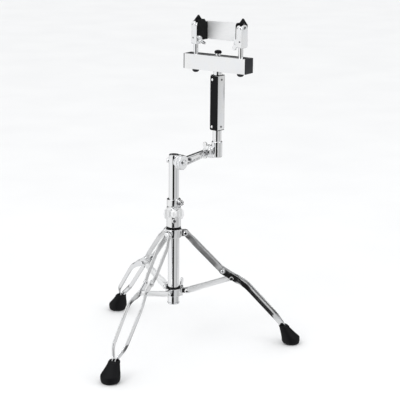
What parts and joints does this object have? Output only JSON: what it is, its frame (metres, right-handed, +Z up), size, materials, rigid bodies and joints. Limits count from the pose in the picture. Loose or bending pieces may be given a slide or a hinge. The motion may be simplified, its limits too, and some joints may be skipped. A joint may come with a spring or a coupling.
{
  "type": "double-braced tripod percussion stand",
  "caption": "Chrome folding tripod stand with braced strap legs and rubber feet, a height tube, an offset tilting arm and a square beam that carries a padded two-jaw clamp.",
  "frame": {"origin": "on the floor, under the middle of the object's bounding box", "axes": "+Z points up along the upright tube; +X points away from the tube along leg c; the picture looks roughly along +Y"},
  "size_m": [0.5022, 0.572, 0.831],
  "materials": {
    "tube_chrome": "bright chrome plated steel tube",
    "plate_chrome": "bright chrome plated steel tube and sheet",
    "strap_chrome": "bright chrome plated steel strap",
    "cast_chrome": "chrome plated casting, slightly wavy",
    "dark_steel": "dark plated steel pins and bolts",
    "foot_rubber": "black moulded rubber, satin",
    "pad_rubber": "black moulded rubber, satin",
    "black_plastic": "black moulded nylon",
    "charcoal_plastic": "charcoal moulded plastic, satin",
    "brushed_chrome": "plated steel strap brushed along its length",
    "satin_plate": "satin plated steel"
  },
  "bodies": {
    "base": {"lower_tube": "tube_chrome", "tube_end_cap": "tube_chrome", "top_hub": "cast_chrome", "top_hub_bushing": "black_plastic", "height_clamp": "cast_chrome", "leg_a_hub_pin": "cast_chrome", "leg_b_hub_pin": "cast_chrome", "leg_c_hub_pin": "cast_chrome"},
    "clamp_bolt": {"height_clamp_wing": "satin_plate"},
    "sliding_hub": {"lower_hub": "cast_chrome", "lower_hub_bushing": "black_plastic", "brace_a_hub_pin": "cast_chrome", "brace_b_hub_pin": "cast_chrome", "brace_c_hub_pin": "cast_chrome"},
    "sliding_hub_screw": {"lower_hub_wing_screw": "cast_chrome"},
    "leg_a": {"leg_a_upper_strap_left": "brushed_chrome", "leg_a_upper_strap_right": "brushed_chrome", "leg_a_lower_strap_left": "strap_chrome", "leg_a_lower_strap_right": "strap_chrome", "leg_a_foot": "foot_rubber"},
    "brace_a": {"brace_a": "strap_chrome"},
    "leg_b": {"leg_b_upper_strap_left": "brushed_chrome", "leg_b_upper_strap_right": "brushed_chrome", "leg_b_lower_strap_left": "strap_chrome", "leg_b_lower_strap_right": "strap_chrome", "leg_b_foot": "foot_rubber"},
    "brace_b": {"brace_b": "strap_chrome"},
    "leg_c": {"leg_c_upper_strap_left": "brushed_chrome", "leg_c_upper_strap_right": "brushed_chrome", "leg_c_lower_strap_left": "strap_chrome", "leg_c_lower_strap_right": "strap_chrome", "leg_c_foot": "foot_rubber"},
    "brace_c": {"brace_c": "strap_chrome"},
    "collar": {"memory_collar": "cast_chrome", "memory_collar_bolt": "dark_steel"},
    "upper_column": {"upper_tube": "tube_chrome", "upper_tube_cap": "tube_chrome", "lower_tilter_disc": "cast_chrome"},
    "lower_tilter_bolt": {"lower_tilter_bolt": "cast_chrome"},
    "arm": {"tilter_arm": "cast_chrome"},
    "post": {"post_socket": "cast_chrome", "post": "tube_chrome", "square_sleeve": "plate_chrome"},
    "upper_tilter_screw": {"upper_tilter_wing_screw": "cast_chrome"},
    "beam": {"beam": "plate_chrome", "beam_end_cap_left": "charcoal_plastic", "beam_end_cap_right": "charcoal_plastic", "swivel_collar": "cast_chrome", "jaw_post_left": "tube_chrome", "jaw_post_right": "tube_chrome", "jaw_post_nut_left": "charcoal_plastic", "jaw_post_nut_right": "charcoal_plastic"},
    "swivel_knob": {"swivel_knob": "black_plastic"},
    "jaws": {"jaw_bracket": "satin_plate", "jaw_left": "cast_chrome", "jaw_right": "cast_chrome", "jaw_pad_left": "pad_rubber", "jaw_pad_right": "pad_rubber"},
    "jaw_screw_left": {"jaw_wing_screw_left": "cast_chrome"},
    "jaw_screw_right": {"jaw_wing_screw_right": "cast_chrome"}
  },
  "joints": [
    {"name": "leg_c_fold", "type": "hinge", "parent": "base", "child": "leg_c", "pos_m": [-0.04527, 0, 0.296], "axis": [0, 1, 0], "range_deg": [0, 40]},
    {"name": "leg_a_fold", "type": "hinge", "parent": "base", "child": "leg_a", "pos_m": [-0.09027, 0.02598, 0.296], "axis": [-0.866, -0.5, 0], "range_deg": [0, 40]},
    {"name": "leg_b_fold", "type": "hinge", "parent": "base", "child": "leg_b", "pos_m": [-0.09027, -0.02598, 0.296], "axis": [0.866, -0.5, 0], "range_deg": [0, 40]},
    {"name": "hub_slide", "type": "slide", "parent": "base", "child": "sliding_hub", "axis": [0, 0, 1], "range_m": [0, 0.10429]},
    {"name": "brace_c_turn", "type": "hinge", "parent": "sliding_hub", "child": "brace_c", "pos_m": [-0.04127, 0, 0.143], "axis": [0, 1, 0], "range_deg": [0, 102.32]},
    {"name": "brace_a_turn", "type": "hinge", "parent": "sliding_hub", "child": "brace_a", "pos_m": [-0.09227, 0.02944, 0.143], "axis": [-0.866, -0.5, 0], "range_deg": [0, 102.32]},
    {"name": "brace_b_turn", "type": "hinge", "parent": "sliding_hub", "child": "brace_b", "pos_m": [-0.09227, -0.02944, 0.143], "axis": [0.866, -0.5, 0], "range_deg": [0, 102.32]},
    {"name": "clamp_bolt_turn", "type": "hinge", "parent": "base", "child": "clamp_bolt", "pos_m": [-0.07527, -0.025, 0.353], "axis": [0, -1, 0], "range_deg": [0, 270]},
    {"name": "sliding_hub_screw_turn", "type": "hinge", "parent": "sliding_hub", "child": "sliding_hub_screw", "pos_m": [-0.05877, 0.02858, 0.1405], "axis": [0.5, 0.866, 0], "range_deg": [0, 270]},
    {"name": "column_turn", "type": "hinge", "parent": "base", "child": "collar", "pos_m": [-0.07527, 0, 0.375], "axis": [0, 0, 1], "continuous": true},
    {"name": "height_slide", "type": "slide", "parent": "collar", "child": "upper_column", "axis": [0, 0, 1], "range_m": [0, 0.18]},
    {"name": "arm_tilt", "type": "hinge", "parent": "upper_column", "child": "arm", "pos_m": [-0.07527, 0, 0.481], "axis": [0.8192, -0.5736, 0], "range_deg": [-45, 60]},
    {"name": "lower_tilter_bolt_turn", "type": "hinge", "parent": "upper_column", "child": "lower_tilter_bolt", "pos_m": [-0.07527, 0, 0.481], "axis": [0.8192, -0.5736, 0], "range_deg": [0, 270]},
    {"name": "post_tilt", "type": "hinge", "parent": "arm", "child": "post", "pos_m": [-0.00472, 0.10076, 0.488], "axis": [0.8192, -0.5736, 0], "range_deg": [-60, 60]},
    {"name": "upper_tilter_screw_turn", "type": "hinge", "parent": "post", "child": "upper_tilter_screw", "pos_m": [-0.00472, 0.10076, 0.488], "axis": [-0.8192, 0.5736, 0], "range_deg": [0, 270]},
    {"name": "beam_swivel", "type": "hinge", "parent": "post", "child": "beam", "pos_m": [0.03419, 0.07351, 0.7], "axis": [0, 0, 1], "continuous": true},
    {"name": "knob_turn", "type": "hinge", "parent": "post", "child": "swivel_knob", "pos_m": [0.03419, 0.07351, 0.745], "axis": [0, 0, 1], "range_deg": [0, 270]},
    {"name": "jaw_slide", "type": "slide", "parent": "beam", "child": "jaws", "axis": [0, 0, 1], "range_m": [-0.013, 0.012]},
    {"name": "jaw_screw_left_turn", "type": "hinge", "parent": "jaws", "child": "jaw_screw_left", "pos_m": [-0.01307, 0.10661, 0.769], "axis": [0.8192, -0.5736, 0], "range_deg": [0, 270]},
    {"name": "jaw_screw_right_turn", "type": "hinge", "parent": "jaws", "child": "jaw_screw_right", "pos_m": [0.08146, 0.04041, 0.769], "axis": [-0.8192, 0.5736, 0], "range_deg": [0, 270]}
  ],
  "couplings": [
    {"joint": "leg_a_fold", "follows": "leg_c_fold", "ratio": 1},
    {"joint": "leg_b_fold", "follows": "leg_c_fold", "ratio": 1},
    {"joint": "hub_slide", "follows": "leg_c_fold", "m_per_rad": 0.14938},
    {"joint": "brace_c_turn", "follows": "leg_c_fold", "ratio": 2.5576},
    {"joint": "brace_a_turn", "follows": "leg_c_fold", "ratio": 2.5576},
    {"joint": "brace_b_turn", "follows": "leg_c_fold", "ratio": 2.5576}
  ]
}
